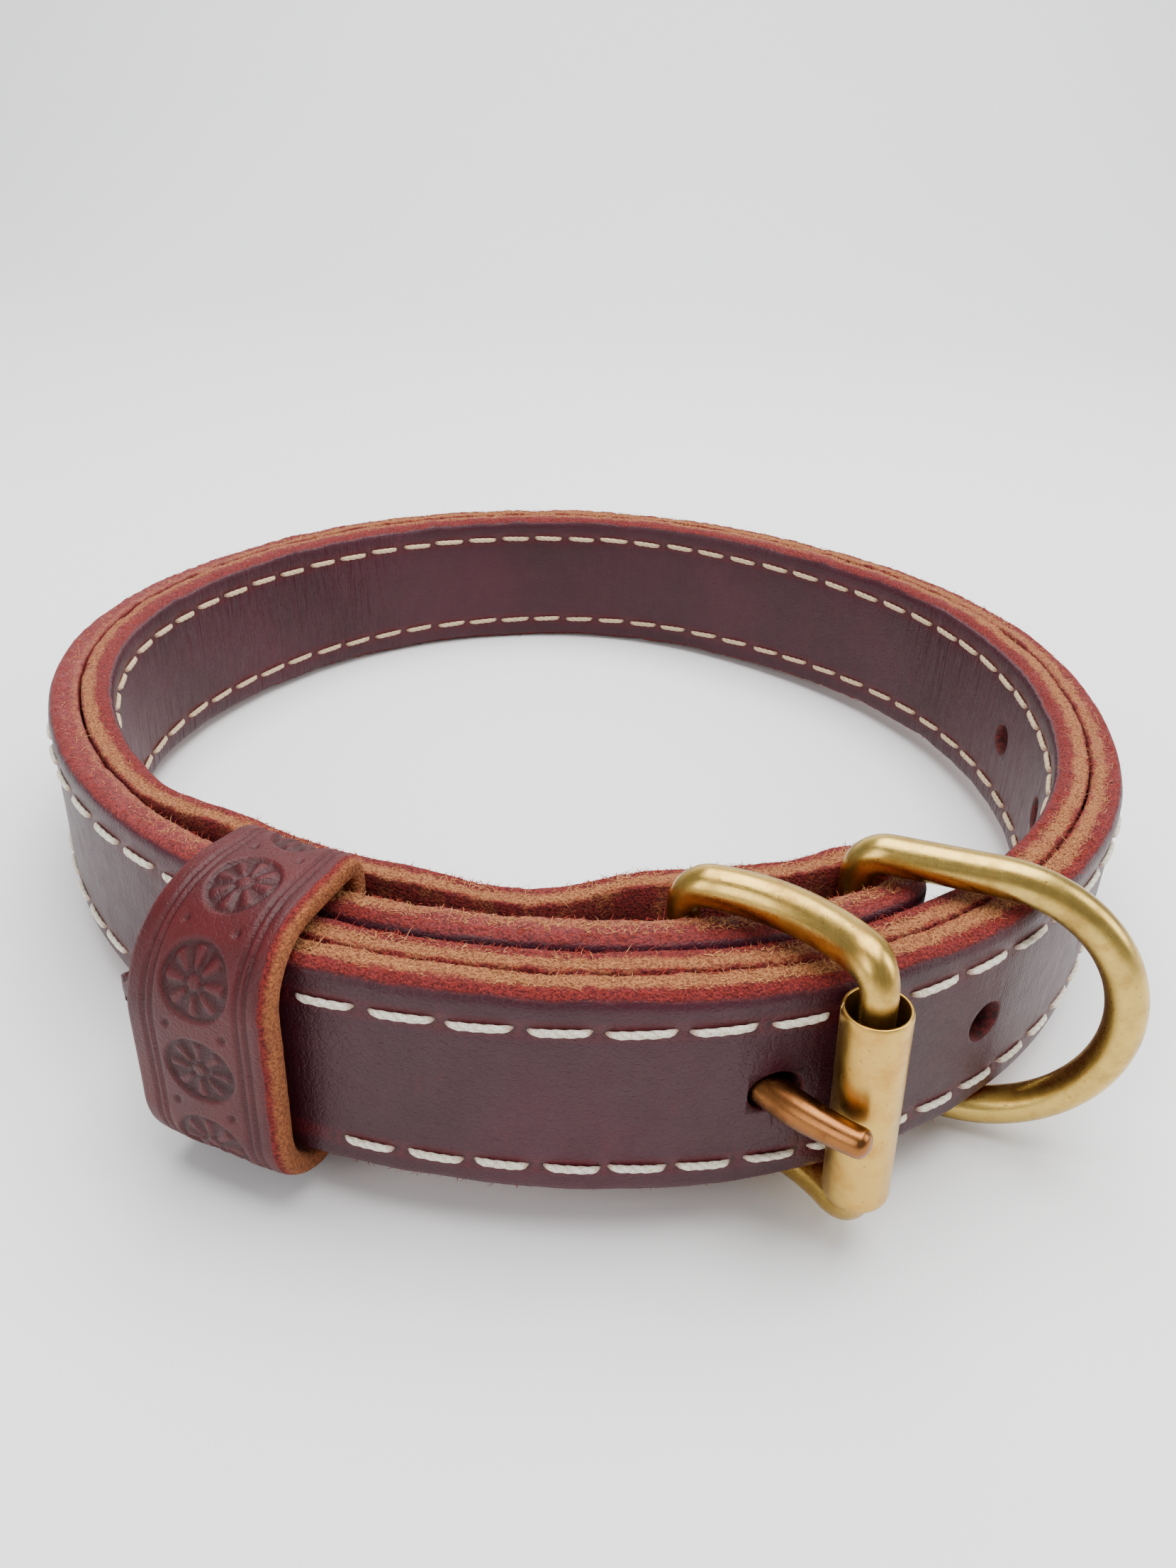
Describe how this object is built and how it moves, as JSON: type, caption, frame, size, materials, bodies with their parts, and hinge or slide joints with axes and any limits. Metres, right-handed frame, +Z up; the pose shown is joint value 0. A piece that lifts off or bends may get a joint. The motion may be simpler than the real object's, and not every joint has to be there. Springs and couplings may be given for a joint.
{
  "type": "dog collar",
  "caption": "Doubled leather dog collar, fastened into a loop with a roller buckle, with a keeper loop and a D-ring, lying on its edge.",
  "frame": {"origin": "centre of the bounding box in plan, at the height of the surface the collar lies on", "axes": "+Z up from that surface; -Y towards the fastened front with the buckle; +X to the right of it, the D-ring's side"},
  "size_m": [0.155, 0.168, 0.0377],
  "materials": {
    "strap_leather": "satin",
    "keeper_leather": "satin",
    "buckle_brass": "polished",
    "roller_brass": "polished",
    "prong_brass": "polished",
    "ring_brass": "polished"
  },
  "bodies": {
    "collar": {"strap": "strap_leather", "keeper": "keeper_leather", "buckle_frame": "buckle_brass", "buckle_prong": "prong_brass"},
    "roller": {"buckle_roller": "roller_brass"},
    "ring": {"d_ring": "ring_brass"}
  },
  "joints": [
    {"name": "roller_spin", "type": "hinge", "parent": "collar", "child": "roller", "pos_m": [0.03133, -0.07762, 0.01962], "axis": [-0.0688, 0.0255, 0.9973], "continuous": true},
    {"name": "d_ring_swing", "type": "hinge", "parent": "collar", "child": "ring", "pos_m": [0.03289, -0.05525, 0.0183], "axis": [-0.0205, 0.0399, 0.999], "range_deg": [-60, 0]}
  ]
}
